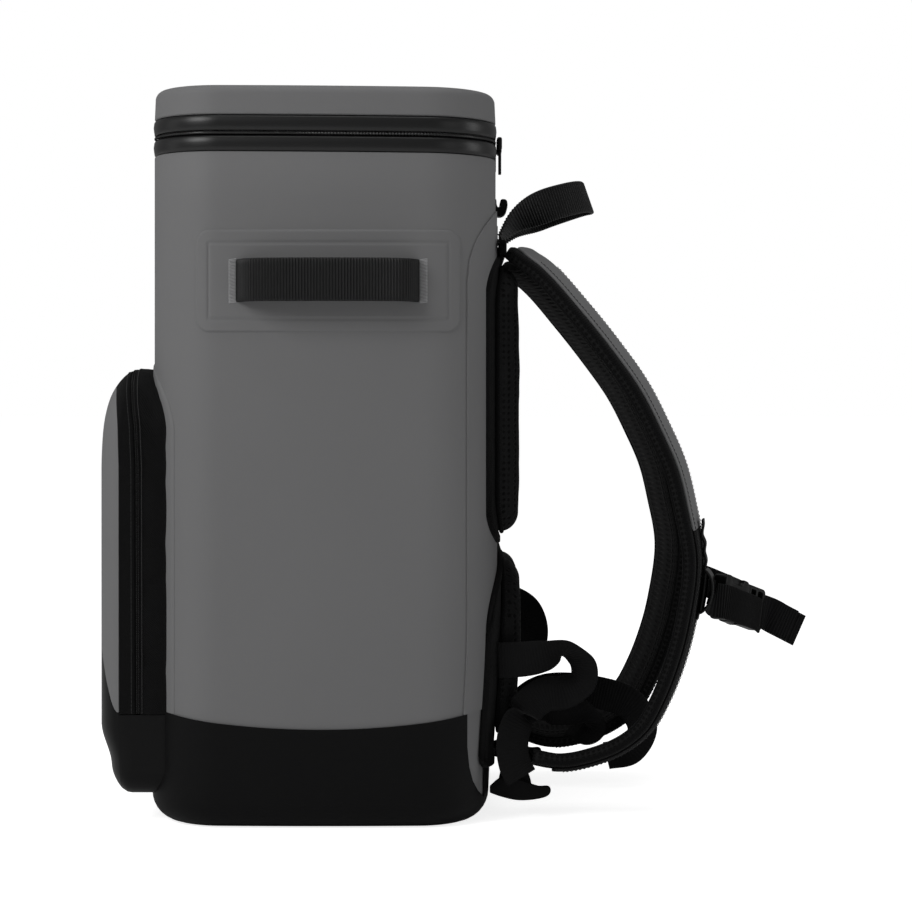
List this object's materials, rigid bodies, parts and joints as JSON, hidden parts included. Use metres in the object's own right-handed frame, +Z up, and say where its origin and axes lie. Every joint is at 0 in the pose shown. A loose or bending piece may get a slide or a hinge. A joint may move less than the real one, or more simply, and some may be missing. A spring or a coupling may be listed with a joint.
{
  "type": "cooler backpack",
  "caption": "Tall insulated soft cooler worn as a backpack, with a zipped padded lid, front pocket, side handles, black base, padded shoulder straps and a chest strap.",
  "frame": {"origin": "middle of the flat underside of the base, at mount base_rest", "axes": "+Z up, -Y toward the front pocket, +Y toward the wearer, +X toward the wearer's right"},
  "size_m": [0.348, 0.5168, 0.5217],
  "materials": {
    "shell": "matt grey coated cloth",
    "boot": "satin black coated cloth",
    "tape": "glossy black watertight zipper tape",
    "twill": "black woven twill",
    "mesh": "black spacer mesh over foam",
    "webbing": "ribbed black webbing",
    "plastic": "moulded black acetal"
  },
  "bodies": {
    "root": {"body_tub": "shell", "lid": "shell", "handle_patch_near": "shell", "handle_patch_far": "shell", "pocket_front": "shell", "strap_cover_near": "shell", "strap_cover_far": "shell", "base_boot": "boot", "pocket_lower": "boot", "lid_hinge": "boot", "strap_anchor_near": "boot", "strap_anchor_far": "boot", "zipper_tape_lower": "tape", "zipper_tape_upper": "tape", "zipper_coil": "tape", "pocket_zipper": "tape", "pocket_gusset_rear": "twill", "pocket_gusset_front": "twill", "upper_back_panel": "twill", "lower_back_panel": "twill", "yoke_plate": "twill", "strap_yoke": "twill", "strap_lower_near": "twill", "strap_lower_far": "twill", "upper_back_pad": "mesh", "lower_back_pad": "mesh", "strap_pad_near": "mesh", "strap_pad_far": "mesh", "side_handle_near": "webbing", "side_handle_far": "webbing", "grab_handle": "webbing", "strap_rail_near": "webbing", "strap_rail_far": "webbing", "chest_web_near": "webbing", "chest_web_far": "webbing", "chest_tail": "webbing", "hip_web_near": "webbing", "hip_web_fold": "webbing", "hip_web_far": "webbing", "strap_tail_far": "webbing", "zipper_dock": "plastic", "zipper_stop": "plastic", "zipper_slider": "plastic", "zipper_pull": "plastic", "hook_keeper": "plastic", "chest_slider_near": "plastic", "chest_slider_far": "plastic", "chest_buckle_socket": "plastic", "chest_buckle_plug": "plastic", "ladder_lock_near": "plastic", "ladder_lock_far": "plastic", "adjuster_web_near": "webbing", "adjuster_web_far": "webbing"}
  },
  "joints": []
}
